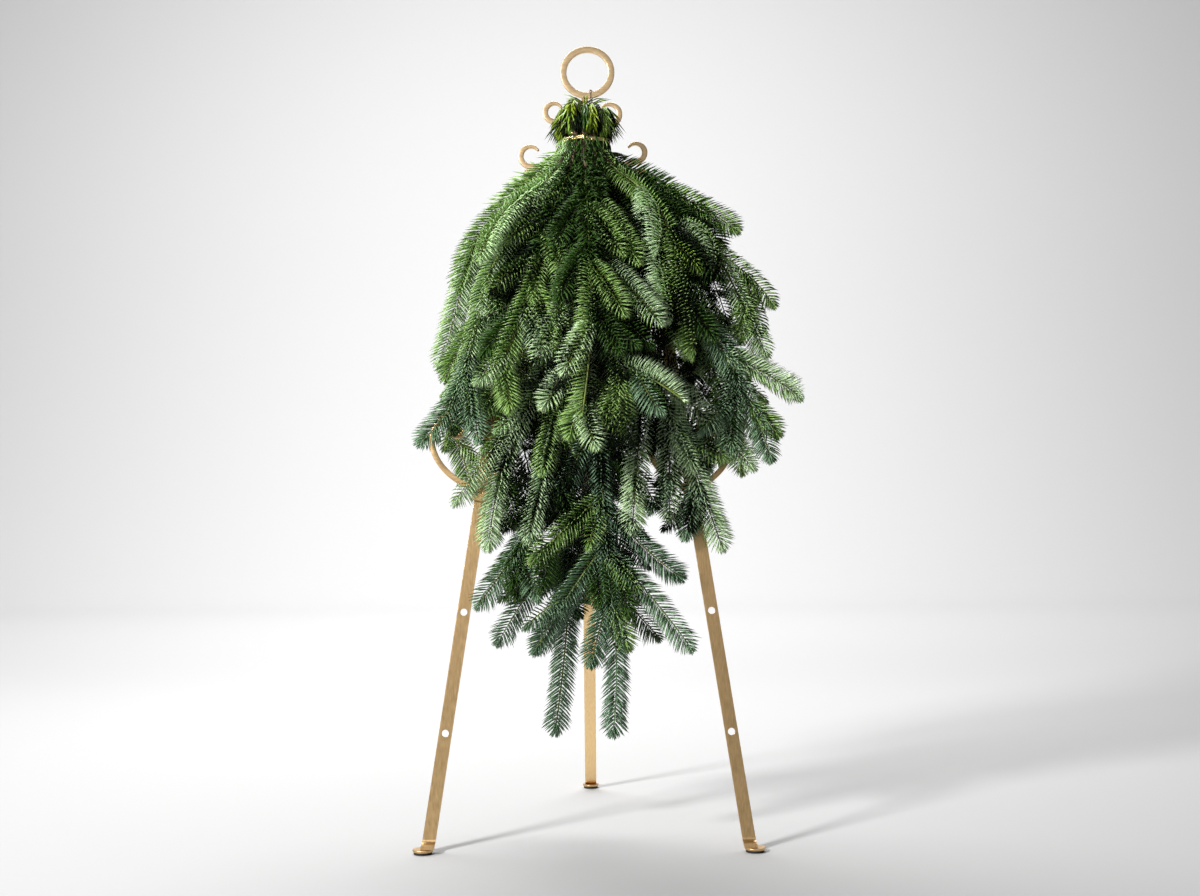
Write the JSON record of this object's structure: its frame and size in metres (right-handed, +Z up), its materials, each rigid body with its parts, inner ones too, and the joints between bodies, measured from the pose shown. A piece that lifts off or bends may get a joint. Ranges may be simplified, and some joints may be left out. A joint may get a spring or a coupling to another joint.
{
  "type": "noble fir bough swag on an easel",
  "caption": "Weeping teardrop swag of cut noble fir boughs, tied at the neck with gold cord and hung by a twine loop from a three-legged brass display easel.",
  "frame": {"origin": "on the floor under the middle of the whole object's width and depth", "axes": "+Z up, +X to the right and -Y towards the viewer who faces the swag"},
  "size_m": [0.5694, 0.4949, 1.1255],
  "materials": {
    "satin_brass": "satin brushed",
    "rubber": "matte",
    "bark": "matte bark",
    "needles": "waxy needles",
    "gold_cord": "metallic thread",
    "twine": "rough fibre"
  },
  "bodies": {
    "root": {"bough_centre": "bark", "bough_front": "bark", "bough_front_right": "bark", "bough_right_front": "bark", "bough_front_left": "bark", "bough_left_front": "bark", "bough_left_arch": "bark", "bough_left_out": "bark", "bough_right_mid": "bark", "bough_right": "bark", "bough_right_long": "bark", "bough_right_low": "bark", "bough_left_mid": "bark", "bough_left_low": "bark", "bough_tail": "bark", "bough_tail_back": "bark", "bough_back_left": "bark", "bough_back_right": "bark", "bough_tuft": "bark", "foliage_centre": "needles", "foliage_front": "needles", "foliage_front_right": "needles", "foliage_right_front": "needles", "foliage_front_left": "needles", "foliage_left_front": "needles", "foliage_left_arch": "needles", "foliage_left_out": "needles", "foliage_right_mid": "needles", "foliage_right": "needles", "foliage_right_long": "needles", "foliage_right_low": "needles", "foliage_left_mid": "needles", "foliage_left_low": "needles", "foliage_tail": "needles", "foliage_tail_back": "needles", "foliage_back_left": "needles", "foliage_back_right": "needles", "foliage_tuft": "needles", "leg_left": "satin_brass", "leg_right": "satin_brass", "leg_rear": "satin_brass", "foot_left": "satin_brass", "foot_right": "satin_brass", "foot_rear": "satin_brass", "crossbar": "satin_brass", "post": "satin_brass", "ring": "satin_brass", "curl_neck_left": "satin_brass", "curl_neck_right": "satin_brass", "curl_shoulder_left": "satin_brass", "curl_shoulder_right": "satin_brass", "scroll_left": "satin_brass", "scroll_right": "satin_brass", "collar_left": "satin_brass", "collar_right": "satin_brass", "pad_left": "rubber", "pad_right": "rubber", "pad_rear": "rubber", "gold_tie": "gold_cord", "twine_loop": "twine"}
  },
  "joints": []
}
